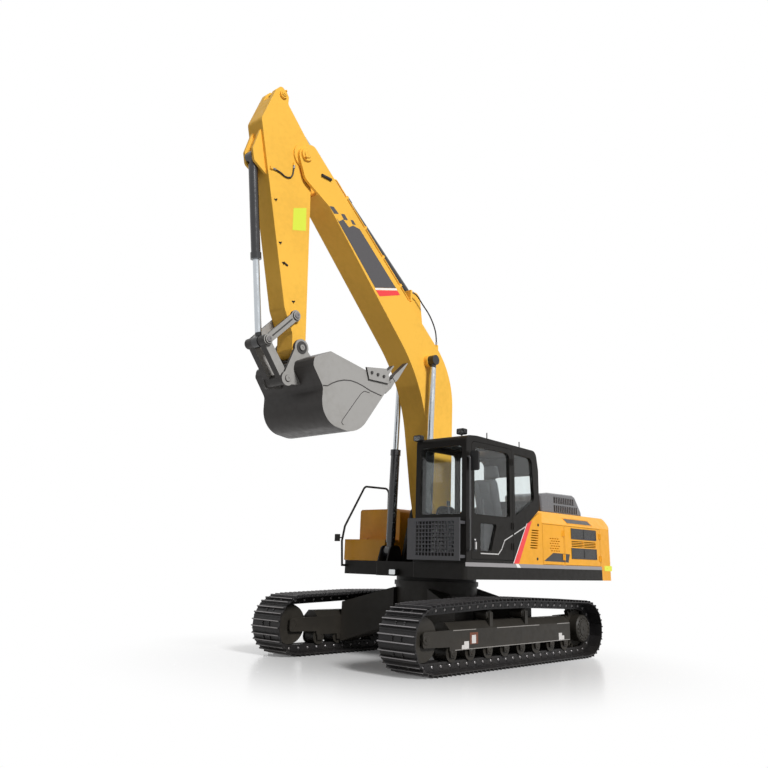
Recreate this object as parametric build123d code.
from build123d import *
import os
from math import atan2, cos, degrees, hypot, pi, radians, sin, tan

# Crawler excavator of the 24 tonne class, in millimetres.
# +X points forwards, +Y to the driver's left and +Z up. The machine is drawn about its slew axis,
# and its nodes are moved at the end so that the origin lies under the middle of the whole box.

# ---- Undercarriage ----
TRACK_GAUGE = 2500              # between the middles of the two tracks
SHOE_WIDTH = 600
SHOE_PITCH = 175                # nearest whole number of shoes is fitted to the loop
SHOE_THICKNESS = 12
GROUSER_HEIGHT = 28
GROUSER_BASE = 26
GROUSER_TIP = 12
LINK_HEIGHT = 100               # from the rail that the rollers run on to the shoe
RAIL_INNER = 50                 # half the distance between the two rails
RAIL_WIDTH = 45
WHEEL_BASE = 3730               # idler axle to sprocket axle
WRAP_RADIUS = 370               # of the shoes' inner faces round the idler and sprocket
CARRIER_STATIONS = (500, -350)
CARRIER_RADIUS = 70
CARRIER_RISE = 50               # how far the upper run is lifted over the idler's top
ROLLER_COUNT = 8
ROLLER_RADIUS = 90
ROLLER_FRONT_SETBACK = 535      # first roller behind the idler's axle
ROLLER_REAR_SETBACK = 475       # last roller before the sprocket's axle
ROLL_CLEARANCE = 0.3
CORNER_CUT = 5                  # how far the chain's straight links dip inside their own bend
FRAME_HALF_WIDTH = 150
FRAME_BOTTOM = 262
FRAME_SHOULDER = 505
FRAME_RIDGE = 590
HUB_RADIUS = 195
HUB_INNER_RADIUS = 165          # where the final drive passes through the frame's plate
AXLE_STUB = 20                  # radius of the carrier rollers' shafts
BEARING_RADIUS = 640
BEARING_BOTTOM = 985
BEARING_GAP = 0.5

# ---- Revolving upper ----
DECK_BOTTOM = 1110
DECK_TOP = 1313
SIDE_Y = 1385                   # half the width of the upper
FRONT_LEFT_X = 1080
FRONT_MIDDLE_X = 860
FRONT_RIGHT_X = 660
TAIL_SPLIT_X = -2650            # face between the body and the counterweight
TAIL_X = -3260                  # rearmost point, on the centreline
SHOULDER_Z = 1940               # where the side panels turn inwards
ROOF_Z = 2130                   # top of the engine house
ROOF_Y = 1190
PANEL = 40                      # thickness of doors and covers
GAP = 6                         # running gap round doors and lids
FACE_GAP = 0.5                  # side gap between a boss and its ear
HINGE_RADIUS = 12               # hinges of doors and lids: knuckle radius, length and leaf
HINGE_LENGTH = 90
HINGE_LEAF = 45
HINGE_BACK = 20                 # length of the fixed leaf
SEAT = 0.3                      # gap where one fixed piece is bolted on another
SLOT_LENGTH = 190               # louvres of the corner panel: length, height, pitch, front end and top row
SLOT_HEIGHT = 16
SLOT_PITCH = 36
SLOT_FRONT_X = -550
SLOT_TOP_Z = 1815
SLOT_ROWS = 8
HOLE_SIZE = (44, 15)            # staggered holes of the front door: length, height
HOLE_PITCH = (70, 36)
HOLE_COUNT = (4, 6)             # columns, rows
HOLE_FIELD = (-1045, 1725)      # front top corner of the holes
GRILLE_X = (-2470, -1695)       # the rear doors' grilles
GRILLE_ROWS = ((1455, 6), (1625, 4), (1755, 6))         # lowest slot's middle, number of slots
GRILLE_SLOT = 13
GRILLE_PITCH = 25
GRILLE_POST = 18                # upright between the two halves of each slot

# ---- Cab ----
CAB_FRONT_X = 1050
CAB_REAR_X = -770
CAB_INNER_Y = 465
CAB_ROOF_Z = 3045
CAB_WALL = 60
DOOR_FRONT_X = 935
DOOR_REAR_X = -60
DOOR_TOP_Z = 2960
WAIST_Z = 1965                  # lower edge of the windows
GLASS = 6
LAMP_DEPTH = 75                 # work lamps: depth, width, height
LAMP_WIDTH = 140
LAMP_HEIGHT = 84
LAMP_RIM = 8                    # thickness of the rim and how far it stands before the lens
ROOF_LAMP = (815, 1120, 80)     # x, y of the lamp on the roof and height of its middle over the roof
CORNER_LAMP_Y = 540             # lamp on the bracket at the roof's front edge
DECK_LAMP = (-70, 1165)         # y, z of the lamp on the front of the deck
AERIALS = ((383, 1250, 110), (-400, 1290, 75))          # x, y, height over the roof's highest line
AERIAL_RADIUS = 8
MIRROR_X = 955                  # rear face of the mirror on the front pillar, before the door's sweep
MIRROR_DEPTH = 32
MIRROR_OUT = 158                # how far it reaches past the machine's side
MIRROR_Z = (2540, 2810)
GRAB_X = 1025                   # grab rail on the front pillar
GRAB_OUT = 45
GRAB_Z = (1480, 2730)
GRAB_RADIUS = 14

# ---- Working equipment: pin centres as (x, z) with the machine as it stands ----
BOOM_FOOT = (120, 2000)
ARM_PIVOT = (3345, 6860)
ARM_TOP = (3800, 7670)
ARM_RAM_FOOT = (800, 5400)
BOOM_RAM_FOOT = (680, 1450)
BOOM_RAM_HEAD = (570, 4360)
BUCKET_RAM_FOOT = (4100, 6580)
BUCKET_PIN = (3160, 4010)
IDLER_PIN = (3290, 4430)
LINK_PIN = (3720, 4000)
BUCKET_LINK_PIN = (3360, 3550)

BOOM_HALF = 230
ARM_HALF = 160
EAR = 50
BUCKET_HALF = 610
BUCKET_PLATE = 25

FORK_DEPTH = 585                # how far the boom's fork is open behind the arm pivot
ARM_SLOT_DEPTH = 580            # how far the arm's top is open for its ram's rod
ARM_SLOT_FRONT = 195            # and how far before the line of its two upper pins
BOOM_RAM_Y = 355
RAM_SIZES = {                   # barrel radius, rod radius, barrel length, half widths of foot and rod eye
    "boom": (72, 45, 1540, 78, 55),
    "arm": (85, 52, 1950, 92, 60),
    "bucket": (64, 44, 1480, 70, 60),
}
RAM_STROKES = {"boom": 1245, "arm": 1575, "bucket": 905}        # left to draw in, as it stands
EYE_WALL = 35

# ---- Free hoses: (x, z) corners of each route, and the clamps that hold their ends as x and z ranges ----
HOSE_RADIUS = 11
HOSE_ARM_Y = ARM_HALF + 12
ARM_HOSE_ROUTE = ((3870, 6440), (3745, 6440), (3640, 6395), (3535, 6430), (3505, 6530), (3505, 6640))
ARM_CLAMP_FRONT = ((3870, 3915), (6420, 6460))
ARM_CLAMP_REAR = ((3485, 3525), (6640, 6680))
HOSE_BOOM_Y = 200
BOOM_HOSE_ROUTE = ((960, 5435), (840, 5435), (690, 5300), (500, 5165), (355, 4960), (320, 4800), (320, 4690))
BOOM_CLAMP_HIGH = ((960, 1000), (5270, 5460))
BOOM_CLAMP_LOW = ((298, 342), (4560, 4690))

nodes = {}


# ---- Helpers ----
def polygon(outline):
    """Closed wire through (a, b) or (a, b, corner radius) points."""
    points = [point[:2] for point in outline]
    radii = [point[2] if len(point) > 2 else 0 for point in outline]
    if any(radii):
        return FilletPolyline(*points, radius=radii, close=True)
    return Polyline(*points, close=True)


def slab(outline, y_from, y_to):
    """Outline of (x, z) points made thick from one Y to another."""
    face = Plane.XZ * make_face(polygon(outline))
    return Pos(0, y_from, 0) * extrude(face, amount=y_to - y_from, dir=(0, 1, 0))


def sheet(outline, z_from, z_to):
    """Outline of (x, y) points made thick from one Z to another."""
    return Pos(0, 0, z_from) * extrude(make_face(polygon(outline)), amount=z_to - z_from)


def section(outline, x_from, x_to):
    """Outline of (y, z) points made long from one X to another."""
    face = Plane.YZ * make_face(polygon(outline))
    return Pos(x_from, 0, 0) * extrude(face, amount=x_to - x_from, dir=(1, 0, 0))


def block(x_range, y_range, z_range):
    """Box between two corners given axis by axis."""
    size = [high - low for low, high in (x_range, y_range, z_range)]
    middle = [(high + low) / 2 for low, high in (x_range, y_range, z_range)]
    return Pos(*middle) * Box(*size)


def cross_pin(centre, radius, y_from, y_to):
    """Cylinder across the machine on an (x, z) centre."""
    x, z = centre
    return Pos(x, (y_from + y_to) / 2, z) * Rot(90, 0, 0) * Cylinder(radius, abs(y_to - y_from))


def bar(start, end, radius):
    """Round bar between two (x, y, z) points."""
    length = (Vector(*end) - Vector(*start)).length
    plane = Plane(origin=start, z_dir=Vector(*end) - Vector(*start))
    return plane * Pos(0, 0, length / 2) * Cylinder(radius, length)


def pipe(points, radius, bend):
    """Bent round tube through (x, y, z) points."""
    path = FilletPolyline(*points, radius=bend)
    return sweep(Plane(origin=path @ 0, z_dir=path % 0) * Circle(radius), path=path)


def hose(route, y):
    """Hose in one plane along an (x, z) route, its corners rounded as far as their shorter run lets."""
    bends = []
    for before, corner, after in zip(route, route[1:], route[2:]):
        run_in = Vector(*corner) - Vector(*before)
        run_out = Vector(*after) - Vector(*corner)
        turn = radians(run_in.get_angle(run_out))
        bends.append(0.45 * min(run_in.length, run_out.length) / tan(turn / 2))
    return pipe([(x, y, z) for x, z in route], HOSE_RADIUS, bends)


def left_and_right(shape):
    """A shape and its mirror image across the centre plane."""
    return [shape, mirror(shape, about=Plane.XZ)]


def toward(start, end, distance):
    """Point at a distance from start on the way to end, both (x, z)."""
    span = hypot(end[0] - start[0], end[1] - start[1])
    return (start[0] + (end[0] - start[0]) * distance / span,
            start[1] + (end[1] - start[1]) * distance / span)


def butt_hinge(plane, stations):
    """Fixed and moving halves of hinges along the plane's z axis, standing on a face under that axis."""
    fixed = []
    moving = []
    for station in stations:
        knuckle = Pos(0, 0, station) * Cylinder(HINGE_RADIUS, HINGE_LENGTH)
        clearance = Pos(0, 0, station) * Cylinder(HINGE_RADIUS + SEAT, HINGE_LENGTH + 2)
        back = Pos(-HINGE_BACK / 2, -HINGE_RADIUS / 2 - 1, station) * Box(
            HINGE_BACK, HINGE_RADIUS + 2, HINGE_LENGTH)
        front = Pos((HINGE_LEAF + GAP) / 2, -HINGE_RADIUS / 2 - 3, station) * Box(
            HINGE_LEAF - GAP, HINGE_RADIUS, HINGE_LENGTH)
        fixed.append(plane * (knuckle + back))
        moving.append(plane * (front - clearance))
    return fixed, moving


# ---- Tracks ----
plate_inner = SHOE_THICKNESS + GROUSER_HEIGHT
axle_z = WRAP_RADIUS + plate_inner
axle_x = WHEEL_BASE / 2
carrier_z = axle_z + WRAP_RADIUS + CARRIER_RISE - LINK_HEIGHT - CARRIER_RADIUS
carrier_wrap = CARRIER_RADIUS + LINK_HEIGHT
belt_wheels = (                 # x, z, radius of the loop there, anticlockwise
    (axle_x, axle_z, WRAP_RADIUS),
    (CARRIER_STATIONS[0], carrier_z, carrier_wrap),
    (CARRIER_STATIONS[1], carrier_z, carrier_wrap),
    (-axle_x, axle_z, WRAP_RADIUS),
)


def belt_stretches():
    """Straight runs and arcs of the loop: (length, function of distance along it)."""
    normals = []
    for here, there in zip(belt_wheels, belt_wheels[1:] + belt_wheels[:1]):
        dx, dz = there[0] - here[0], there[1] - here[1]
        span = hypot(dx, dz)
        lean = (here[2] - there[2]) / span
        across = (1 - lean * lean) ** 0.5
        normals.append(atan2(lean * dz / span - across * dx / span,
                             lean * dx / span + across * dz / span))
    stretches = []
    for index, (x, z, radius) in enumerate(belt_wheels):
        start = normals[index - 1]
        turn = (normals[index] - start) % (2 * pi)
        stretches.append((turn * radius, x, z, radius, start, 0))
        following = belt_wheels[(index + 1) % len(belt_wheels)]
        span = hypot(following[0] - x, following[1] - z)
        run = (span * span - (radius - following[2]) ** 2) ** 0.5
        stretches.append((run, x, z, radius, normals[index], 1))
    return stretches


def belt_points(count):
    """Evenly spaced points on the loop, each with its outward direction."""
    stretches = belt_stretches()
    loop = sum(stretch[0] for stretch in stretches)
    points = []
    for index in range(count):
        distance = index * loop / count
        for length, x, z, radius, angle, straight in stretches:
            if distance <= length:
                break
            distance -= length
        if not straight:
            angle += distance / radius
        normal = (cos(angle), sin(angle))
        along = distance if straight else 0
        points.append((x + radius * normal[0] - along * normal[1],
                       z + radius * normal[1] + along * normal[0], normal))
    return points


loop_length = sum(stretch[0] for stretch in belt_stretches())
SHOE_COUNT = round(loop_length / SHOE_PITCH)
joints_on_loop = belt_points(SHOE_COUNT)
shoe_profile = (                # share of the pitch, sideways shift, height over the shoe's inner face
    (0.04, 0, SHOE_THICKNESS),
    (0.20, -GROUSER_BASE / 2, SHOE_THICKNESS),
    (0.20, -GROUSER_TIP / 2, plate_inner),
    (0.20, GROUSER_TIP / 2, plate_inner),
    (0.20, GROUSER_BASE / 2, SHOE_THICKNESS),
    (0.70, -GROUSER_BASE / 2, SHOE_THICKNESS),
    (0.70, -GROUSER_TIP / 2, plate_inner),
    (0.70, GROUSER_TIP / 2, plate_inner),
    (0.70, GROUSER_BASE / 2, SHOE_THICKNESS),
)


def shoe_ring_outline():
    """Outer outline of all the shoes with their grousers."""
    outline = []
    for (x0, z0, _), (x1, z1, _) in zip(joints_on_loop, joints_on_loop[1:] + joints_on_loop[:1]):
        pitch = hypot(x1 - x0, z1 - z0)
        ux, uz = (x1 - x0) / pitch, (z1 - z0) / pitch
        for share, shift, height in shoe_profile:
            along = share * pitch + shift
            outline.append((x0 + ux * along + uz * height, z0 + uz * along - ux * height))
    return outline


def loop_outline(depth):
    """The loop moved inwards by a depth, one corner at each shoe joint."""
    return [(x - depth * nx, z - depth * nz) for x, z, (nx, nz) in joints_on_loop]


def make_track(middle_y):
    """One endless track: shoes with grousers, and the two rails of the chain under them."""
    half = SHOE_WIDTH / 2
    shoes = slab(shoe_ring_outline(), middle_y - half, middle_y + half)
    shoes -= slab(loop_outline(0), middle_y - half - 1, middle_y + half + 1)
    rail_outer = loop_outline(0)
    rail_inner = loop_outline(LINK_HEIGHT)
    for inner_y in (RAIL_INNER, -RAIL_INNER - RAIL_WIDTH):
        low = middle_y + inner_y
        rail = slab(rail_outer, low, low + RAIL_WIDTH) - slab(rail_inner, low - 1, low + RAIL_WIDTH + 1)
        shoes += rail
    return shoes


roller_front = axle_x - ROLLER_FRONT_SETBACK
roller_rear = ROLLER_REAR_SETBACK - axle_x
roller_step = (roller_front - roller_rear) / (ROLLER_COUNT - 1)
roller_stations = [roller_rear + roller_step * index for index in range(ROLLER_COUNT)]

# The chain's inner corners make a polygon, so wheels fit inside the middles of its sides.
half_step = SHOE_PITCH / (2 * WRAP_RADIUS)
wheel_tread = (WRAP_RADIUS - LINK_HEIGHT) * cos(half_step) - 2
rail_top_z = plate_inner + LINK_HEIGHT
roller_z = rail_top_z + ROLL_CLEARANCE + ROLLER_RADIUS
rail_outer_y = RAIL_INNER + RAIL_WIDTH


def turned(profile, centre, middle_y):
    """Solid of revolution across the machine from (radius, y) points that start and end on the axis."""
    face = make_face(Polyline(*profile, close=True))
    solid = revolve(face, axis=Axis.Y)
    return Pos(centre[0], middle_y, centre[1]) * solid


def make_idler(middle_y):
    rim = wheel_tread
    profile = (
        (0, -FRAME_HALF_WIDTH + 5), (60, -FRAME_HALF_WIDTH + 5), (60, -rail_outer_y), (rim, -rail_outer_y),
        (rim, -RAIL_INNER + 6), (rim + 18, -RAIL_INNER + 12), (rim + 18, RAIL_INNER - 12),
        (rim, RAIL_INNER - 6), (rim, rail_outer_y), (60, rail_outer_y), (60, FRAME_HALF_WIDTH - 5),
        (0, FRAME_HALF_WIDTH - 5),
    )
    return turned(profile, (axle_x, axle_z), middle_y)


def make_sprocket(middle_y, side):
    """Toothed rim between the rails, on the round final drive that fills the frame's end."""
    teeth = 21
    root = wheel_tread - 5
    tip = root + 62
    outline = []
    for tooth in range(teeth):
        for share, radius in ((-0.26, root), (-0.12, tip), (0.12, tip), (0.26, root)):
            angle = 2 * pi * (tooth + share) / teeth
            outline.append((-axle_x + radius * cos(angle), axle_z + radius * sin(angle)))
    rim = slab(outline, middle_y - 32, middle_y + 32)
    drive = turned(((0, -180), (HUB_INNER_RADIUS, -180), (HUB_INNER_RADIUS, -60), (HUB_RADIUS, -60),
                    (HUB_RADIUS, 165), (HUB_RADIUS - 20, 185), (0, 185)), (-axle_x, axle_z), 0)
    if side < 0:
        drive = mirror(drive, about=Plane.XZ)
    return rim + Pos(0, middle_y, 0) * drive


def make_rollers(middle_y):
    profile = (
        (0, -FRAME_HALF_WIDTH + 5), (38, -FRAME_HALF_WIDTH + 5), (38, -rail_outer_y - 24),
        (ROLLER_RADIUS + 16, -rail_outer_y - 24), (ROLLER_RADIUS + 16, -rail_outer_y - 4),
        (ROLLER_RADIUS, -rail_outer_y - 4), (ROLLER_RADIUS, rail_outer_y + 4),
        (ROLLER_RADIUS + 16, rail_outer_y + 4), (ROLLER_RADIUS + 16, rail_outer_y + 24),
        (38, rail_outer_y + 24), (38, FRAME_HALF_WIDTH - 5), (0, FRAME_HALF_WIDTH - 5),
    )
    return [turned(profile, (x, roller_z), middle_y) for x in roller_stations]


def make_carriers(middle_y):
    """Small rollers that hold up the upper run, each on a shaft between two brackets."""
    tread = CARRIER_RADIUS - CORNER_CUT
    profile = (
        (0, -FRAME_HALF_WIDTH + 15), (AXLE_STUB, -FRAME_HALF_WIDTH + 15), (AXLE_STUB, -rail_outer_y - 8),
        (tread - 10, -rail_outer_y - 8), (tread, -rail_outer_y), (tread, rail_outer_y),
        (tread - 10, rail_outer_y + 8), (AXLE_STUB, rail_outer_y + 8), (AXLE_STUB, FRAME_HALF_WIDTH - 15),
        (0, FRAME_HALF_WIDTH - 15),
    )
    return [turned(profile, (x, carrier_z), middle_y) for x in CARRIER_STATIONS]


def make_track_frame(middle_y):
    """Long box with a ridged top, the roller saddles under it, the idler yoke and the drive's ring."""
    side = FRAME_HALF_WIDTH
    ridge = 60
    channel_y = rail_outer_y + 29
    channel_z = roller_z + ROLLER_RADIUS + 25
    front = roller_front + 75
    rear = roller_rear - 125
    beam = section(((-side, FRAME_BOTTOM), (-channel_y, FRAME_BOTTOM), (-channel_y, channel_z),
                    (channel_y, channel_z), (channel_y, FRAME_BOTTOM), (side, FRAME_BOTTOM),
                    (side, FRAME_SHOULDER), (ridge, FRAME_RIDGE), (-ridge, FRAME_RIDGE),
                    (-side, FRAME_SHOULDER)), rear, front)
    yoke_outline = ((front - 10, FRAME_BOTTOM + 45), (axle_x + 60, axle_z - 90, 40),
                    (axle_x + 60, axle_z + 90, 40), (front - 10, FRAME_SHOULDER))
    drive_outline = ((rear + 10, FRAME_BOTTOM), (-axle_x - 100, axle_z - 190, 120),
                     (-axle_x - 190, axle_z, 120), (-axle_x - 100, axle_z + 190, 120),
                     (rear + 10, FRAME_RIDGE))
    frame = beam
    for low, high in ((-side, -channel_y), (channel_y, side)):
        frame += slab(yoke_outline, low, high)
        frame -= cross_pin((axle_x, axle_z), 60 + ROLL_CLEARANCE, low - 1, high + 1)
    inner_low, inner_high = (-side, -side + 40) if middle_y > 0 else (side - 40, side)
    frame += slab(drive_outline, inner_low, inner_high)
    for x in roller_stations:
        for low, high in ((-side, -channel_y), (channel_y, side)):
            saddle = slab(((x - 60, FRAME_BOTTOM + 1), (x - 48, roller_z - 45), (x + 48, roller_z - 45),
                           (x + 60, FRAME_BOTTOM + 1)), low, high)
            frame += saddle
        frame -= cross_pin((x, roller_z), 38 + ROLL_CLEARANCE, -side - 1, side + 1)
    for x in CARRIER_STATIONS:
        for low, high in ((rail_outer_y + 12, side - 12), (-side + 12, -rail_outer_y - 12)):
            bracket = block((x - 35, x + 35), (low, high), (FRAME_SHOULDER - 20, carrier_z + 35))
            frame += bracket - cross_pin((x, carrier_z), AXLE_STUB + ROLL_CLEARANCE, low - 1, high + 1)
    hub = cross_pin((-axle_x, axle_z), HUB_INNER_RADIUS + ROLL_CLEARANCE, -side - 1, side + 1)
    return Pos(0, middle_y, 0) * (frame - hub)


for side_name, side in (("left", 1), ("right", -1)):
    track_y = side * TRACK_GAUGE / 2
    nodes["track_" + side_name] = make_track(track_y)
    nodes["idler_" + side_name] = make_idler(track_y)
    nodes["sprocket_" + side_name] = make_sprocket(track_y, side)
    nodes["track_rollers_" + side_name] = make_rollers(track_y) + make_carriers(track_y)
    nodes["track_frame_" + side_name] = make_track_frame(track_y)

# ---- Car body: round pedestal on four spread legs ----
leg_end_y = TRACK_GAUGE / 2 - FRAME_HALF_WIDTH - SEAT
pedestal = Pos(0, 0, 740) * Cylinder(BEARING_RADIUS - 20, 2 * (BEARING_BOTTOM - 740))
car_body = pedestal + block((-520, 520), (-640, 640), (500, 860))
for front in (1, -1):
    for side in (1, -1):
        inner = Plane(origin=(front * 420, side * 330, 690), z_dir=(0, side, 0)) * Rectangle(520, 360)
        outer = Plane(origin=(front * 800, side * leg_end_y, 430), z_dir=(0, side, 0)) * Rectangle(560, 250)
        car_body += loft([inner, outer])
nodes["car_body"] = car_body
bearing_top = (BEARING_BOTTOM + DECK_BOTTOM) / 2
nodes["swing_bearing"] = (Pos(0, 0, (BEARING_BOTTOM + bearing_top) / 2 + SEAT / 2)
                          * Cylinder(BEARING_RADIUS, bearing_top - BEARING_BOTTOM - SEAT))

# ---- Revolving frame ----
deck_outline = (
    (FRONT_LEFT_X, SIDE_Y, 60), (FRONT_LEFT_X, CAB_INNER_Y, 20), (FRONT_MIDDLE_X, CAB_INNER_Y, 20),
    (FRONT_MIDDLE_X, -CAB_INNER_Y, 20), (FRONT_RIGHT_X, -CAB_INNER_Y, 20), (FRONT_RIGHT_X, -SIDE_Y, 60),
    (TAIL_SPLIT_X, -SIDE_Y), (TAIL_SPLIT_X, SIDE_Y),
)
deck = sheet(deck_outline, DECK_BOTTOM, DECK_TOP)
deck += Pos(0, 0, (bearing_top + BEARING_GAP + DECK_BOTTOM) / 2) * Cylinder(
    BEARING_RADIUS - 30, DECK_BOTTOM - bearing_top - BEARING_GAP)
ear_from = BOOM_HALF + 12 + FACE_GAP
ear_outline = ((-560, DECK_TOP - 5), (BOOM_FOOT[0] - 170, BOOM_FOOT[1] + 140, 130),
               (BOOM_FOOT[0] + 170, BOOM_FOOT[1] + 140, 130), (430, 1640, 60), (500, DECK_TOP - 5))
ram_ear_outline = ((BOOM_RAM_FOOT[0] - 190, DECK_TOP - 5), (BOOM_RAM_FOOT[0] - 95, BOOM_RAM_FOOT[1] + 90, 80),
                   (BOOM_RAM_FOOT[0] + 95, BOOM_RAM_FOOT[1] + 90, 80), (FRONT_MIDDLE_X - 10, DECK_TOP - 5))
main_frame = deck
for ear in left_and_right(slab(ear_outline, ear_from, ear_from + EAR)):
    main_frame += ear
boom_ram_foot_half, boom_ram_eye_half = RAM_SIZES["boom"][3:]
for cap in left_and_right(cross_pin(BOOM_FOOT, 85, ear_from + EAR - 1, ear_from + EAR + 25)):
    main_frame += cap
for low in (BOOM_RAM_Y - boom_ram_foot_half - FACE_GAP - 25, BOOM_RAM_Y + boom_ram_foot_half + FACE_GAP):
    for ear in left_and_right(slab(ram_ear_outline, low, low + 25)):
        main_frame += ear
nodes["main_frame"] = main_frame

# ---- Counterweight: one casting with a bowed rear ----
tail_corner_x = TAIL_X + 280
tail_plan = make_face(
    Line((TAIL_SPLIT_X - SEAT, SIDE_Y), (TAIL_SPLIT_X - SEAT, -SIDE_Y))
    + Line((TAIL_SPLIT_X - SEAT, -SIDE_Y), (tail_corner_x + 60, -SIDE_Y))
    + ThreePointArc((tail_corner_x + 60, -SIDE_Y), (tail_corner_x - 60, -SIDE_Y + 60),
                    (tail_corner_x - 120, -SIDE_Y + 200))
    + ThreePointArc((tail_corner_x - 120, -SIDE_Y + 200), (TAIL_X, 0), (tail_corner_x - 120, SIDE_Y - 200))
    + ThreePointArc((tail_corner_x - 120, SIDE_Y - 200), (tail_corner_x - 60, SIDE_Y - 60),
                    (tail_corner_x + 60, SIDE_Y))
    + Line((tail_corner_x + 60, SIDE_Y), (TAIL_SPLIT_X - SEAT, SIDE_Y)))
weight = Pos(0, 0, DECK_BOTTOM) * extrude(tail_plan, amount=ROOF_Z - DECK_BOTTOM)
house_section = ((-SIDE_Y, DECK_BOTTOM), (SIDE_Y, DECK_BOTTOM), (SIDE_Y, SHOULDER_Z), (ROOF_Y, ROOF_Z),
                 (-ROOF_Y, ROOF_Z), (-SIDE_Y, SHOULDER_Z))
weight = weight & section(house_section, TAIL_X - 10, TAIL_SPLIT_X)
tail_side = ((TAIL_SPLIT_X + 10, DECK_BOTTOM - 5), (TAIL_X + 180, DECK_BOTTOM - 5),
             (TAIL_X - 5, DECK_BOTTOM + 150), (TAIL_X - 5, SHOULDER_Z - 60), (TAIL_X + 190, ROOF_Z + 5),
             (TAIL_SPLIT_X + 10, ROOF_Z + 5))
weight = weight & slab(tail_side, -SIDE_Y - 10, SIDE_Y + 10)
LIFT_EYE_RADIUS = 30
LIFT_EYE_LENGTH = 50
for y in (-520, 520):
    eye_x = (TAIL_SPLIT_X + TAIL_X) / 2 + 40
    lug = slab(((eye_x - 90, ROOF_Z - 5), (eye_x - 60, ROOF_Z + 110, 50), (eye_x + 60, ROOF_Z + 110, 50),
                (eye_x + 90, ROOF_Z - 5)), y - LIFT_EYE_LENGTH / 2, y + LIFT_EYE_LENGTH / 2)
    weight += lug - cross_pin((eye_x, ROOF_Z + 55), LIFT_EYE_RADIUS, y - 60, y + 60)
nodes["counterweight"] = weight

# ---- Engine house: fixed covers round the engine and pump bays ----
floor_z = DECK_TOP + SEAT
BAY_FRONT_X = -830              # bulkhead behind the cab
DOOR_SPLIT_X = -1480            # between the two left doors
HOOD_FRONT_X = -1120
HOOD_REAR_X = -2500
HOOD_LEFT_Y = 1080
HOOD_RIGHT_Y = -560
skin = section(((SIDE_Y, floor_z), (SIDE_Y, SHOULDER_Z), (ROOF_Y, ROOF_Z), (-ROOF_Y, ROOF_Z),
                (-SIDE_Y, SHOULDER_Z), (-SIDE_Y, floor_z)), TAIL_SPLIT_X + SEAT, BAY_FRONT_X)
hollow = section(((SIDE_Y - PANEL, floor_z - 1), (SIDE_Y - PANEL, SHOULDER_Z - 15),
                  (ROOF_Y - 10, ROOF_Z - PANEL), (-ROOF_Y + 10, ROOF_Z - PANEL),
                  (-SIDE_Y + PANEL, SHOULDER_Z - 15), (-SIDE_Y + PANEL, floor_z - 1)),
                 TAIL_SPLIT_X + PANEL, BAY_FRONT_X - PANEL)
DOOR_SILL_Z = floor_z + 18
DOOR_HEAD_Z = SHOULDER_Z - 12
side_doors = {                  # node: side, front x, rear x
    "left_front_door": (1, BAY_FRONT_X - 12, DOOR_SPLIT_X + 20),
    "left_rear_door": (1, DOOR_SPLIT_X - 4, TAIL_SPLIT_X + 30),
    "right_rear_door": (-1, DOOR_SPLIT_X - 4, TAIL_SPLIT_X + 30),
}


def door_openings(name):
    """X and Z ranges of the air slots cut through a door."""
    openings = []
    if name == "left_front_door":
        for row in range(HOLE_COUNT[1]):
            for column in range(HOLE_COUNT[0]):
                x = HOLE_FIELD[0] - (column + row % 2 / 2) * HOLE_PITCH[0]
                z = HOLE_FIELD[1] - row * HOLE_PITCH[1]
                openings.append(((x - HOLE_SIZE[0], x), (z - HOLE_SIZE[1], z)))
        return openings
    middle = sum(GRILLE_X) / 2
    halves = ((GRILLE_X[0], middle - GRILLE_POST / 2), (middle + GRILLE_POST / 2, GRILLE_X[1]))
    for first, count in GRILLE_ROWS:
        for index in range(count):
            z = first + index * GRILLE_PITCH
            openings += [(half, (z - GRILLE_SLOT / 2, z + GRILLE_SLOT / 2)) for half in halves]
    return openings


house = skin - hollow
for side, front_x, rear_x in side_doors.values():
    house -= block((rear_x, front_x), sorted((side * (SIDE_Y - PANEL - 1), side * (SIDE_Y + 1))),
                   (DOOR_SILL_Z, DOOR_HEAD_Z))
house -= block((HOOD_REAR_X, HOOD_FRONT_X), (HOOD_RIGHT_Y, HOOD_LEFT_Y), (ROOF_Z - PANEL - 1, ROOF_Z + 1))
for name, (side, front_x, rear_x) in side_doors.items():
    door = block((rear_x + GAP, front_x - GAP), sorted((side * (SIDE_Y - PANEL), side * SIDE_Y)),
                 (DOOR_SILL_Z + GAP, DOOR_HEAD_Z - GAP))
    axis = Plane(origin=(rear_x + GAP / 2, side * (SIDE_Y + HINGE_RADIUS), 0), x_dir=(1, 0, 0),
                 z_dir=(0, 0, side))
    fixed, moving = butt_hinge(axis, [side * z for z in (DOOR_SILL_Z + 120, DOOR_HEAD_Z - 120)])
    house += fixed
    through = sorted((side * (SIDE_Y - PANEL - 1), side * (SIDE_Y + 1)))
    for opening in door_openings(name):
        door -= block(opening[0], through, opening[1])
    nodes[name] = door + moving

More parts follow.
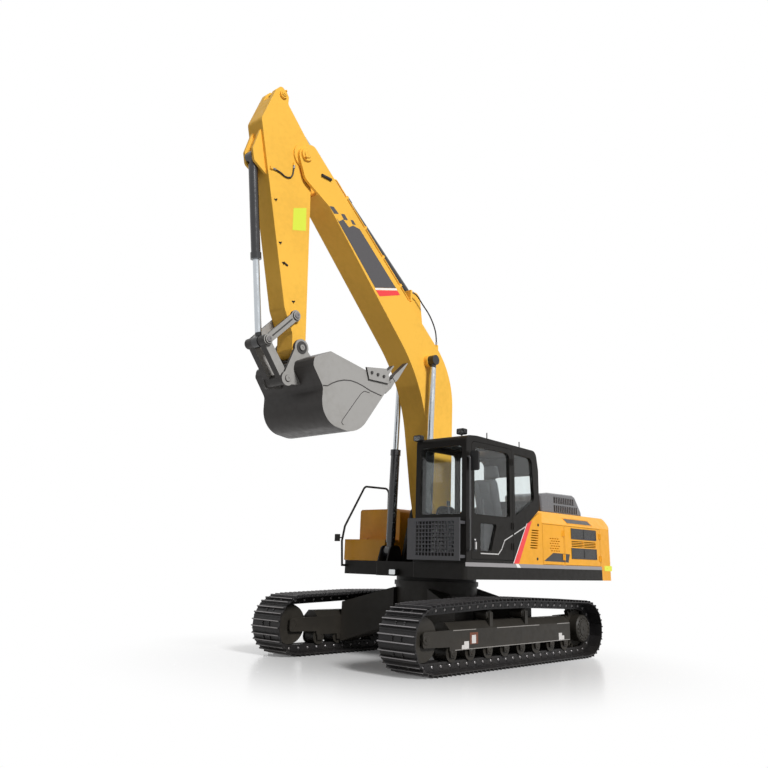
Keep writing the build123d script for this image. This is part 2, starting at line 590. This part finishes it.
hood = block((HOOD_REAR_X + GAP, HOOD_FRONT_X - GAP), (HOOD_RIGHT_Y + GAP, HOOD_LEFT_Y - GAP),
             (ROOF_Z - PANEL, ROOF_Z))
HUMP_FRONT_X = -1180
HUMP_REAR_X = -2180
HUMP_LEFT_Y = 1040
HUMP_RIGHT_Y = 330
HUMP_HEIGHT = 350
hood_axis = Plane(origin=(0, HOOD_RIGHT_Y + GAP / 2, ROOF_Z + HINGE_RADIUS), x_dir=(0, 1, 0), z_dir=(1, 0, 0))
fixed, moving = butt_hinge(hood_axis, (HOOD_REAR_X + 200, HOOD_FRONT_X - 200))
nodes["engine_house"] = house + fixed
nodes["engine_hood"] = hood + moving
hump = slab(((HUMP_FRONT_X + 40, ROOF_Z + SEAT), (HUMP_FRONT_X - 20, ROOF_Z + HUMP_HEIGHT, 70),
             (HUMP_REAR_X + 120, ROOF_Z + HUMP_HEIGHT - 20, 90), (HUMP_REAR_X, ROOF_Z + SEAT)),
            HUMP_RIGHT_Y, HUMP_LEFT_Y)
slots = []
for row, z in ((0, ROOF_Z + 110), (1, ROOF_Z + 225)):
    for index in range(6):
        x = HUMP_FRONT_X - 330 - index * 95
        slots.append(block((x - 30, x + 30), (HUMP_LEFT_Y - 30, HUMP_LEFT_Y + 5), (z - 35, z + 35)))
for slot in slots:
    hump -= slot
nodes["air_intake_cover"] = hump

# ---- Left corner panel behind the cab, with the slanted front edge ----
CORNER_BOTTOM_X = -90
CORNER_TOP_X = -470
corner_panel = slab(((CORNER_BOTTOM_X, floor_z), (CORNER_TOP_X, 1905), (BAY_FRONT_X + 60, 2085),
                     (BAY_FRONT_X + SEAT, 2085), (BAY_FRONT_X + SEAT, floor_z)), SIDE_Y - PANEL, SIDE_Y)
for row in range(SLOT_ROWS):
    z = SLOT_TOP_Z - row * SLOT_PITCH
    x = SLOT_FRONT_X + row * 7
    corner_panel -= block((x - SLOT_LENGTH, x), (SIDE_Y - PANEL - 1, SIDE_Y + 1),
                          (z - SLOT_HEIGHT / 2, z + SLOT_HEIGHT / 2))
nodes["left_corner_panel"] = corner_panel

# ---- Right side: tool box, fuel tank and hydraulic tank ----
TANK_INNER_Y = -500
TANK_FRONT_X = 320
TANK_SPLIT_X = -330
TANK_TOP_Z = 2110
tank_section = ((TANK_INNER_Y, floor_z), (TANK_INNER_Y, TANK_TOP_Z, 60), (-SIDE_Y, TANK_TOP_Z, 45),
                (-SIDE_Y, floor_z))
fuel_tank = section(tank_section, TANK_SPLIT_X + SEAT, TANK_FRONT_X)
nodes["hydraulic_tank"] = section(tank_section, BAY_FRONT_X + SEAT, TANK_SPLIT_X)
BOX_TOP_Z = 1630
LID = 25
box_y = (-SIDE_Y, TANK_INNER_Y)
box_x = (TANK_FRONT_X + SEAT, FRONT_RIGHT_X - 10)
tool_box = block(box_x, box_y, (floor_z, BOX_TOP_Z - LID - SEAT))
tool_box -= block((box_x[0] + 20, box_x[1] - 20), (box_y[0] + 20, box_y[1] - 20), (floor_z + 20, BOX_TOP_Z))
nodes["tool_box"] = tool_box
lid_axis = Plane(origin=(TANK_FRONT_X + HINGE_RADIUS + 2, 0, BOX_TOP_Z + HINGE_RADIUS), x_dir=(1, 0, 0),
                 z_dir=(0, -1, 0))
fixed, moving = butt_hinge(lid_axis, (-box_y[0] - 150, -box_y[1] + 150))
nodes["fuel_tank"] = fuel_tank + fixed
lid = block((TANK_FRONT_X + HINGE_RADIUS + GAP + 2, box_x[1]), box_y, (BOX_TOP_Z - LID, BOX_TOP_Z))
nodes["tool_box_lid"] = lid + moving

# ---- Engine, radiator and pump behind the doors ----
nodes["engine"] = block((-2150, -1250), (-480, 520), (floor_z, 1980))
nodes["radiator"] = block((-2560, -1700), (900, 1080), (floor_z, 2000))
nodes["pump"] = bar((-1700, -480 - SEAT, 1600), (-1700, -980, 1600), 190) + block(
    (-1850, -1550), (-900, -700), (floor_z, 1600))

# ---- Cab ----
cab_floor_z = DECK_TOP + SEAT
cab_outline = ((CAB_FRONT_X, cab_floor_z), (CAB_FRONT_X, CAB_ROOF_Z - 20, 80),
               (CAB_FRONT_X - 240, CAB_ROOF_Z, 200), (CAB_REAR_X + 60, CAB_ROOF_Z - 40, 120),
               (CAB_REAR_X, CAB_ROOF_Z - 330, 160), (CAB_REAR_X, 2125, 40),
               (CORNER_TOP_X + 6, 1912, 40), (CORNER_BOTTOM_X + 6, cab_floor_z))
cab_inner = ((CAB_FRONT_X - CAB_WALL, cab_floor_z + 50), (CAB_FRONT_X - CAB_WALL, CAB_ROOF_Z - 85, 60),
             (CAB_REAR_X + 120, CAB_ROOF_Z - 105, 80), (CAB_REAR_X + CAB_WALL, CAB_ROOF_Z - 345, 100),
             (CAB_REAR_X + CAB_WALL, 2150, 30), (CORNER_TOP_X + 75, 1935, 30),
             (CORNER_BOTTOM_X + 75, cab_floor_z + 50))
cab = slab(cab_outline, CAB_INNER_Y, SIDE_Y) - slab(cab_inner, CAB_INNER_Y + CAB_WALL, SIDE_Y - CAB_WALL)
door_opening = ((DOOR_FRONT_X, cab_floor_z + 55, 20), (DOOR_FRONT_X, DOOR_TOP_Z, 70),
                (DOOR_REAR_X, DOOR_TOP_Z, 70), (DOOR_REAR_X, cab_floor_z + 55, 20))
cab -= slab(door_opening, SIDE_Y - CAB_WALL - 1, SIDE_Y + 1)


def inset(outline, amount):
    """A four-cornered outline of (a, b, radius) drawn in by an amount on every side."""
    middle_a = sum(point[0] for point in outline) / len(outline)
    middle_b = sum(point[1] for point in outline) / len(outline)
    return [(a - amount if a > middle_a else a + amount, b - amount if b > middle_b else b + amount,
             max(radius - amount, 0)) for a, b, radius in outline]


door_window = ((865, WAIST_Z, 40), (865, DOOR_TOP_Z - 75, 90), (10, DOOR_TOP_Z - 75, 90), (10, WAIST_Z, 40))
door_lower_window = ((730, 1490, 30), (730, 1850, 30), (340, 1850, 30), (480, 1480, 40))
rear_side_window = ((-120, 1990, 30), (-120, 2900, 40), (-590, 2880, 90), (-640, 2260, 80))
right_windows = (((900, 1990, 40), (900, 2890, 60), (150, 2890, 60), (150, 1990, 40)),
                 ((80, 1990, 40), (80, 2890, 60), (-600, 2870, 90), (-600, 2240, 60)))
front_window = ((CAB_INNER_Y + 75, 1955, 50), (CAB_INNER_Y + 75, 2890, 60), (SIDE_Y - 80, 2890, 60),
                (SIDE_Y - 80, 1955, 50))
front_lower_window = ((CAB_INNER_Y + 95, 1440, 40), (CAB_INNER_Y + 95, 1880, 40), (SIDE_Y - 100, 1880, 40),
                      (SIDE_Y - 100, 1440, 40))
rear_window = ((CAB_INNER_Y + 90, 2260, 50), (CAB_INNER_Y + 90, 2640, 60), (SIDE_Y - 95, 2640, 60),
               (SIDE_Y - 95, 2260, 50))
panes = []
cab -= slab(rear_side_window, SIDE_Y - CAB_WALL - 1, SIDE_Y + 1)
middle_left = SIDE_Y - CAB_WALL / 2
panes.append(slab(rear_side_window, middle_left - GLASS / 2, middle_left + GLASS / 2))
for window in right_windows:
    cab -= slab(window, CAB_INNER_Y - 1, CAB_INNER_Y + CAB_WALL + 1)
    panes.append(slab(window, CAB_INNER_Y + CAB_WALL / 2 - GLASS / 2, CAB_INNER_Y + CAB_WALL / 2 + GLASS / 2))
for window, x in ((front_window, CAB_FRONT_X), (front_lower_window, CAB_FRONT_X),
                  (rear_window, CAB_REAR_X + CAB_WALL)):
    cab -= section(window, x - CAB_WALL - 1, x + 1)
    panes.append(section(window, x - CAB_WALL / 2 - GLASS / 2, x - CAB_WALL / 2 + GLASS / 2))
hatch = ((620, CAB_INNER_Y + 170, 40), (620, SIDE_Y - 170, 40), (60, SIDE_Y - 170, 40),
         (60, CAB_INNER_Y + 170, 40))
door_axis = Plane(origin=(DOOR_REAR_X + GAP / 2, SIDE_Y + HINGE_RADIUS, 0), x_dir=(1, 0, 0), z_dir=(0, 0, 1))
door_hinges = butt_hinge(door_axis, (cab_floor_z + 250, WAIST_Z - 120, DOOR_TOP_Z - 200))
cab += door_hinges[0]
cab -= sheet(hatch, CAB_ROOF_Z - 140, CAB_ROOF_Z + 10)
lamp_stem_top = CAB_ROOF_Z + ROOF_LAMP[2] - LAMP_HEIGHT / 2
cab += bar((*ROOF_LAMP[:2], CAB_ROOF_Z - 20), (*ROOF_LAMP[:2], lamp_stem_top - SEAT), 10)
lamp_shelf_z = CAB_ROOF_Z - 52
cab += block((CAB_FRONT_X - 90, CAB_FRONT_X + 90), (CORNER_LAMP_Y - 30, CORNER_LAMP_Y + 30),
             (lamp_shelf_z - 8, lamp_shelf_z))
for x, y, height in AERIALS:
    cab += bar((x, y, CAB_ROOF_Z - 60), (x, y, CAB_ROOF_Z + height), AERIAL_RADIUS)
panes.append(sheet(hatch, CAB_ROOF_Z - 60, CAB_ROOF_Z - 45))
nodes["cab_shell"] = cab
nodes["cab_glass"] = panes

door = slab(inset(door_opening, GAP), SIDE_Y - CAB_WALL, SIDE_Y)
for window in (door_window, door_lower_window):
    door -= slab(window, SIDE_Y - CAB_WALL - 1, SIDE_Y + 1)
nodes["cab_door"] = door + door_hinges[1]
nodes["door_glass"] = [slab(window, middle_left - GLASS / 2, middle_left + GLASS / 2)
                       for window in (door_window, door_lower_window)]

seat_y = (CAB_INNER_Y + SIDE_Y) / 2
inner_floor = cab_floor_z + 50
SEAT_BACK_X = -60
seat = block((SEAT_BACK_X, SEAT_BACK_X + 480), (seat_y - 240, seat_y + 240), (1760, 1880))
seat += block((SEAT_BACK_X + 100, SEAT_BACK_X + 340), (seat_y - 160, seat_y + 160),
              (inner_floor + SEAT, 1765))
seat += slab(((SEAT_BACK_X + 20, 1850), (SEAT_BACK_X + 130, 1850), (SEAT_BACK_X - 50, 2560, 40),
              (SEAT_BACK_X - 150, 2560, 40)), seat_y - 230, seat_y + 230)
seat += slab(((SEAT_BACK_X - 50, 2540), (SEAT_BACK_X - 150, 2540), (SEAT_BACK_X - 180, 2760, 40),
              (SEAT_BACK_X - 100, 2770, 40)), seat_y - 130, seat_y + 130)
nodes["operator_seat"] = seat
consoles = []
for side in (1, -1):
    y = seat_y + side * 310
    console = block((20, 520), (y - 55, y + 55), (inner_floor + SEAT, 1960))
    console += bar((460, y, 1950), (480, y, 2120), 14) + bar((480, y, 2115), (486, y, 2185), 26)
    consoles.append(console)
for side in (1, -1):
    y = seat_y + side * 80
    consoles.append(block((640, 800), (y - 50, y + 50), (inner_floor + SEAT, inner_floor + 40))
                    + bar((720, y, inner_floor + 30), (660, y, inner_floor + 420), 10))
nodes["cab_controls"] = consoles

# ---- Mesh guard before the cab's lower front ----
GUARD_X = 1200
guard_y = (CAB_INNER_Y - 10, SIDE_Y)
guard_z = (1345, 1900)
guard = block((GUARD_X - 18, GUARD_X), guard_y, guard_z)
columns, rows = 12, 9
mesh_y = (guard_y[0] + 150, guard_y[1] - 90)
mesh_z = (guard_z[0] + 50, guard_z[1] - 40)
pitch_y = (mesh_y[1] - mesh_y[0]) / columns
pitch_z = (mesh_z[1] - mesh_z[0]) / rows
wire = 12
for row in range(rows):
    for column in range(columns):
        y = mesh_y[0] + (column + 0.5) * pitch_y
        z = mesh_z[0] + (row + 0.5) * pitch_z
        guard -= Pos(GUARD_X - 9, y, z) * Box(30, pitch_y - wire, pitch_z - wire)
for y in (CAB_INNER_Y + 30, SIDE_Y - 40):
    for z in (1400, 1840):
        guard += block((CAB_FRONT_X + SEAT, GUARD_X - 10), (y - 20, y + 20), (z - 20, z + 20))
nodes["front_guard"] = guard

# ---- Rails, mirrors and lamps ----
RAIL_RADIUS = 17
rail_y = -SIDE_Y + 65
rail_foot_z = DECK_BOTTOM + 110
handrail = pipe(((750, rail_y, rail_foot_z), (780, rail_y, 1600), (730, rail_y, 1830), (310, rail_y, 2490),
                 (-275, rail_y, 2500), (-275, rail_y, TANK_TOP_Z + SEAT)), RAIL_RADIUS, (60, 60, 90, 90))
foot_stub_z = rail_foot_z + 15
handrail += bar((FRONT_RIGHT_X + SEAT, rail_y, foot_stub_z), (760, rail_y, foot_stub_z), RAIL_RADIUS)
handrail += bar((775, rail_y, 1650), (775, rail_y - 70, 1650), 9)
handrail += block((762, 788), (rail_y - 165, rail_y - 65), (1595, 1705))
nodes["handrail"] = handrail
nodes["grab_rail"] = pipe(((GRAB_X, SIDE_Y + SEAT, GRAB_Z[0]), (GRAB_X, SIDE_Y + GRAB_OUT, GRAB_Z[0]),
                           (GRAB_X, SIDE_Y + GRAB_OUT, GRAB_Z[1]), (GRAB_X, SIDE_Y + SEAT, GRAB_Z[1])),
                          GRAB_RADIUS, (30, 30))
mirror_middle = sum(MIRROR_Z) / 2
mirror_outline = ((SIDE_Y + 18, MIRROR_Z[0], 30), (SIDE_Y + MIRROR_OUT, MIRROR_Z[0], 30),
                  (SIDE_Y + MIRROR_OUT, MIRROR_Z[1], 30), (SIDE_Y + 18, MIRROR_Z[1], 30))
mirror_x = (MIRROR_X, MIRROR_X + MIRROR_DEPTH)
nodes["cab_mirror"] = section(mirror_outline, *mirror_x) + block(
    mirror_x, (SIDE_Y + SEAT, SIDE_Y + 25), (mirror_middle - 25, mirror_middle + 25))


def work_lamp(rear_x, middle_y, bottom_z):
    """Lamp with a rounded rim and a set-back lens, open to the front."""
    low, high = middle_y - LAMP_WIDTH / 2, middle_y + LAMP_WIDTH / 2
    top_z = bottom_z + LAMP_HEIGHT
    front_x = rear_x + LAMP_DEPTH
    rim = ((low, bottom_z, 22), (high, bottom_z, 22), (high, top_z, 22), (low, top_z, 22))
    return section(rim, rear_x, front_x) - section(inset(rim, LAMP_RIM), front_x - LAMP_RIM, front_x + 1)


nodes["work_lamps"] = [
    work_lamp(ROOF_LAMP[0] - LAMP_DEPTH / 2, ROOF_LAMP[1], lamp_stem_top),
    work_lamp(CAB_FRONT_X + 10, CORNER_LAMP_Y, lamp_shelf_z + SEAT),
    work_lamp(FRONT_MIDDLE_X + SEAT, DECK_LAMP[0], DECK_LAMP[1] - LAMP_HEIGHT / 2),
]

# ---- Boom ----
boom_outline = (                # x, z, corner radius
    (BOOM_FOOT[0] - 165, BOOM_FOOT[1] - 150, 140),
    (BOOM_FOOT[0] + 165, BOOM_FOOT[1] - 150, 140),
    (400, 2320, 200),
    (683, 4000, 2400),
    (2840, 6225, 300),
    (3330, 6490, 150),
    (3505, 6880, 150),
    (3240, 7095, 120),
    (-80, 4280, 1190),
)
boom = slab(boom_outline, -BOOM_HALF, BOOM_HALF)
boom += cross_pin(BOOM_FOOT, 150, -BOOM_HALF - 12, BOOM_HALF + 12)
fork_from = ARM_HALF + 25 + FACE_GAP
boom -= cross_pin(ARM_PIVOT, FORK_DEPTH, -fork_from, fork_from)
for cap in left_and_right(cross_pin(ARM_PIVOT, 95, BOOM_HALF - 1, BOOM_HALF + 30)):
    boom += cap
ram_head_face = BOOM_RAM_Y - boom_ram_eye_half - FACE_GAP
for cap in left_and_right(cross_pin(BOOM_RAM_HEAD, 95, BOOM_HALF - 1, ram_head_face)):
    boom += cap
arm_ram_foot_half, arm_ram_eye_half = RAM_SIZES["arm"][3:]
lug_outline = ((ARM_RAM_FOOT[0] - 250, 4700), (ARM_RAM_FOOT[0] - 130, ARM_RAM_FOOT[1] + 30, 100),
               (ARM_RAM_FOOT[0], ARM_RAM_FOOT[1] + 130, 100),
               (ARM_RAM_FOOT[0] + 140, ARM_RAM_FOOT[1] - 40, 100), (ARM_RAM_FOOT[0] + 330, 5260))
for lug in left_and_right(slab(lug_outline, arm_ram_foot_half + FACE_GAP, arm_ram_foot_half + FACE_GAP + 35)):
    boom += lug
boom += block(BOOM_CLAMP_HIGH[0], (arm_ram_foot_half + 10, HOSE_BOOM_Y + 18), BOOM_CLAMP_HIGH[1])
boom += block(BOOM_CLAMP_LOW[0], (HOSE_BOOM_Y - 22, HOSE_BOOM_Y + 22), BOOM_CLAMP_LOW[1])
nodes["boom"] = boom
nodes["boom_hose"] = hose(BOOM_HOSE_ROUTE, HOSE_BOOM_Y)

# ---- Arm ----
arm_outline = (                 # x, z, corner radius
    (3045, 3895, 105),
    (3275, 3885, 105),
    (3295, 4190, 120),
    (3465, 4515, 200),
    (4128, 7130, 110),
    (3925, 7700, 60),
    (3835, 7805, 60),
    (3690, 7690, 60),
    (3690, 7560, 60),
    (3190, 7040, 160),
    (3155, 6300, 300),
)
arm = slab(arm_outline, -ARM_HALF, ARM_HALF)
arm += cross_pin(ARM_PIVOT, 185, -ARM_HALF - 25, ARM_HALF + 25)
upper_pins = Plane(origin=(ARM_TOP[0], 0, ARM_TOP[1]), z_dir=(0, -1, 0),
                   x_dir=(ARM_PIVOT[0] - ARM_TOP[0], 0, ARM_PIVOT[1] - ARM_TOP[1]))
slot = upper_pins * (Cylinder(ARM_SLOT_DEPTH, 2 * arm_ram_eye_half + 30)
                     & Pos(0, ARM_SLOT_FRONT - 1000, 0) * Box(2000, 2000, 500))
arm -= slot
for cap in left_and_right(cross_pin(ARM_TOP, 62, ARM_HALF - 1, ARM_HALF + 30)):
    arm += cap
for pad in left_and_right(cross_pin(ARM_TOP, 95, arm_ram_eye_half + FACE_GAP, arm_ram_eye_half + 20)):
    arm += pad
bucket_ram_foot_half, bucket_ram_eye_half = RAM_SIZES["bucket"][3:]
ram_lug = ((3900, 6330), (4150, 6475, 70), (4190, 6640, 70), (4095, 6990, 60), (4050, 7000))
lug_from = bucket_ram_foot_half + FACE_GAP
for lug in left_and_right(slab(ram_lug, lug_from, lug_from + 40)):
    arm += lug
for cap in left_and_right(cross_pin(IDLER_PIN, 75, ARM_HALF - 1, ARM_HALF + 12)):
    arm += cap
for cap in left_and_right(cross_pin(BUCKET_PIN, 100, ARM_HALF - 1, ARM_HALF + 15)):
    arm += cap
arm += block(ARM_CLAMP_FRONT[0], (ARM_HALF - 5, ARM_HALF + 24), ARM_CLAMP_FRONT[1])
arm += block(ARM_CLAMP_REAR[0], (ARM_HALF - 5, ARM_HALF + 24), ARM_CLAMP_REAR[1])
nodes["arm"] = arm
nodes["arm_hose"] = hose(ARM_HOSE_ROUTE, HOSE_ARM_Y)

# ---- Rams: barrel with eye and gland, rod with eye ----
ram_points = {                  # foot, head, middle planes
    "boom": (BOOM_RAM_FOOT, BOOM_RAM_HEAD, (BOOM_RAM_Y, -BOOM_RAM_Y)),
    "arm": (ARM_RAM_FOOT, ARM_TOP, (0,)),
    "bucket": (BUCKET_RAM_FOOT, LINK_PIN, (0,)),
}
for name, (foot, head, planes) in ram_points.items():
    barrel_radius, rod_radius, barrel_length, foot_half, eye_half = RAM_SIZES[name]
    eye_radius = rod_radius + EYE_WALL
    barrels = []
    rods = []
    bore_start = toward(foot, head, barrel_radius + 60)
    barrel_end = toward(foot, head, barrel_length)
    gland_start = toward(foot, head, barrel_length - 90)
    rod_start = toward(foot, head, barrel_radius + 120 + RAM_STROKES[name])
    for y in planes:
        barrel = cross_pin(foot, eye_radius + 5, y - foot_half, y + foot_half)
        barrel += bar((foot[0], y, foot[1]), (bore_start[0], y, bore_start[1]), barrel_radius * 0.8)
        barrel += bar((bore_start[0], y, bore_start[1]), (barrel_end[0], y, barrel_end[1]), barrel_radius)
        barrel += bar((gland_start[0], y, gland_start[1]), (barrel_end[0], y, barrel_end[1]),
                      barrel_radius + 10)
        bore_from = toward(foot, head, barrel_radius + 110)
        bore_to = toward(foot, head, barrel_length + 5)
        barrel -= bar((bore_from[0], y, bore_from[1]), (bore_to[0], y, bore_to[1]), rod_radius + 0.1)
        barrels.append(barrel)
        rod = bar((rod_start[0], y, rod_start[1]), (head[0], y, head[1]), rod_radius)
        rod += cross_pin(head, eye_radius, y - eye_half, y + eye_half)
        rods.append(rod)
    plural = "s" if len(planes) > 1 else ""
    nodes[name + "_ram_barrel" + plural] = barrels
    nodes[name + "_ram_rod" + plural] = rods

# ---- Bucket linkage ----
IDLER_FROM = ARM_HALF + 12 + FACE_GAP
IDLER_PLATE = 35


def link_outline(start, end, radius_start, radius_end):
    """Flat link of two round ends joined by straight sides, as a sketch in (x, z)."""
    centre_line = (end[0] - start[0], end[1] - start[1])
    span = hypot(*centre_line)
    ux, uz = centre_line[0] / span, centre_line[1] / span
    web = ((start[0] - uz * radius_start * 0.8, start[1] + ux * radius_start * 0.8),
           (end[0] - uz * radius_end * 0.8, end[1] + ux * radius_end * 0.8),
           (end[0] + uz * radius_end * 0.8, end[1] - ux * radius_end * 0.8),
           (start[0] + uz * radius_start * 0.8, start[1] - ux * radius_start * 0.8))
    rounds = Pos(*start) * Circle(radius_start) + Pos(*end) * Circle(radius_end)
    return make_face(Polyline(*web, close=True)) + rounds


def flat_link(start, end, radius_start, radius_end, y_from, y_to):
    sketch = link_outline(start, end, radius_start, radius_end)
    return Pos(0, y_from, 0) * extrude(Plane.XZ * sketch, amount=y_to - y_from, dir=(0, 1, 0))


idler_link = flat_link(IDLER_PIN, LINK_PIN, 78, 72, IDLER_FROM, IDLER_FROM + IDLER_PLATE)
idler_link += cross_pin(LINK_PIN, 55, IDLER_FROM + IDLER_PLATE - 1, IDLER_FROM + IDLER_PLATE + 22)
idler_link += cross_pin(IDLER_PIN, 58, IDLER_FROM + IDLER_PLATE - 1, IDLER_FROM + IDLER_PLATE + 22)
nodes["idler_links"] = left_and_right(idler_link)
BAR_FROM = bucket_ram_eye_half + 10
BAR_TO = IDLER_FROM - FACE_GAP
link_bar = flat_link(LINK_PIN, BUCKET_LINK_PIN, 72, 80, BAR_FROM, BAR_TO)
bucket_link = link_bar + mirror(link_bar, about=Plane.XZ)
bucket_link += cross_pin(BUCKET_LINK_PIN, 80, -BAR_FROM - 1, BAR_FROM + 1)
nodes["bucket_link"] = bucket_link

# ---- Bucket ----
shell_outer = (                 # x, z, corner radius: rim, back, belly and floor up to the lip
    (2985, 3935),
    (3262, 3800, 60),
    (3275, 3690, 60),
    (3085, 3440, 120),
    (3085, 2990, 330),
    (2420, 2900, 420),
    (1800, 3715),
)
shell_path = FilletPolyline(*[point[:2] for point in shell_outer],
                            radius=[point[2] for point in shell_outer[1:-1]])
belly_close = Line(shell_outer[-1][:2], shell_outer[0][:2])
belly = make_face(shell_path + belly_close)
solid_belly = Pos(0, -BUCKET_HALF, 0) * extrude(Plane.XZ * belly, amount=2 * BUCKET_HALF, dir=(0, 1, 0))
inner_belly = offset(belly, amount=-BUCKET_PLATE, kind=Kind.INTERSECTION)
core = Pos(0, -BUCKET_HALF + BUCKET_PLATE, 0) * extrude(
    Plane.XZ * inner_belly, amount=2 * (BUCKET_HALF - BUCKET_PLATE), dir=(0, 1, 0))
mouth = slab(((2950, 3870), (1850, 3672), (1790, 4000), (2900, 4200)), -BUCKET_HALF + BUCKET_PLATE,
             BUCKET_HALF - BUCKET_PLATE)
bucket = solid_belly - core - mouth
lip = slab(((1905, 3570), (1790, 3700), (1765, 3738), (1800, 3745), (1950, 3610)), -BUCKET_HALF, BUCKET_HALF)
bucket += lip
EAR_FROM = ARM_HALF + 15 + FACE_GAP
ear_plate = flat_link(BUCKET_PIN, BUCKET_LINK_PIN, 118, 98, EAR_FROM, EAR_FROM + 40)
ear_root = slab(((3140, 4060), (2940, 3880), (3120, 3500), (3300, 3480), (3420, 3600)),
                EAR_FROM, EAR_FROM + 40)
ear_root -= slab(((2900, 3920), (3235, 3790), (3245, 3700), (3060, 3450), (3000, 3200), (2500, 3300),
                  (2500, 3920)), -900, 900)
for ear in left_and_right(ear_plate + ear_root):
    bucket += ear
for cutter in left_and_right(slab(((2330, 3850), (2270, 3690), (1880, 3700), (1870, 3790), (1930, 3905)),
                                  BUCKET_HALF - 1, BUCKET_HALF + 28)):
    bucket += cutter

TOOTH_COUNT = 5
TOOTH_WIDTH = 95
TOOTH_LENGTH = 410
ADAPTER_REACH = 95
lip_edge = (1790, 3715)
lip_angle = degrees(atan2(744, -668))
lip_along = (cos(radians(lip_angle)), 0, sin(radians(lip_angle)))
lip_plane = Plane(origin=(lip_edge[0], 0, lip_edge[1]), x_dir=lip_along, z_dir=(0, -1, 0))
adapter_outline = ((-175, -34), (-40, -50), (ADAPTER_REACH, -34), (ADAPTER_REACH, 34), (-40, 50), (-175, 34))
tooth_outline = ((ADAPTER_REACH + SEAT, -40), (ADAPTER_REACH + 70, -44), (ADAPTER_REACH + TOOTH_LENGTH, -7),
                 (ADAPTER_REACH + TOOTH_LENGTH, 7), (ADAPTER_REACH + 70, 44), (ADAPTER_REACH + SEAT, 40))
tooth_pitch = (2 * BUCKET_HALF - TOOTH_WIDTH - 20) / (TOOTH_COUNT - 1)
teeth = []
for index in range(TOOTH_COUNT):
    place = lip_plane * Pos(0, 0, ((TOOTH_COUNT - 1) / 2 - index) * tooth_pitch)
    adapter = make_face(Polyline(*adapter_outline, close=True))
    tooth = make_face(Polyline(*tooth_outline, close=True))
    bucket += place * extrude(adapter, amount=TOOTH_WIDTH / 2 - 8, both=True)
    teeth.append(place * extrude(tooth, amount=TOOTH_WIDTH / 2, both=True))
nodes["bucket"] = bucket
nodes["bucket_teeth"] = teeth

# ---- Write the parts, with the origin under the middle of the whole box ----
def as_list(shape):
    return shape if isinstance(shape, list) else [shape]


def solids_of(shapes):
    """Every solid in a shape or a list of shapes."""
    return [solid for shape in as_list(shapes) for solid in shape.solids()]


whole = [solid.bounding_box() for shapes in nodes.values() for solid in solids_of(shapes)]
ORIGIN_X = (min(box.min.X for box in whole) + max(box.max.X for box in whole)) / 2
os.makedirs("parts", exist_ok=True)
for name, shapes in nodes.items():
    moved = [Pos(-ORIGIN_X, 0, 0) * solid for solid in solids_of(shapes)]
    export_step(moved[0] if len(moved) == 1 else Compound(children=moved), f"parts/{name}.step")
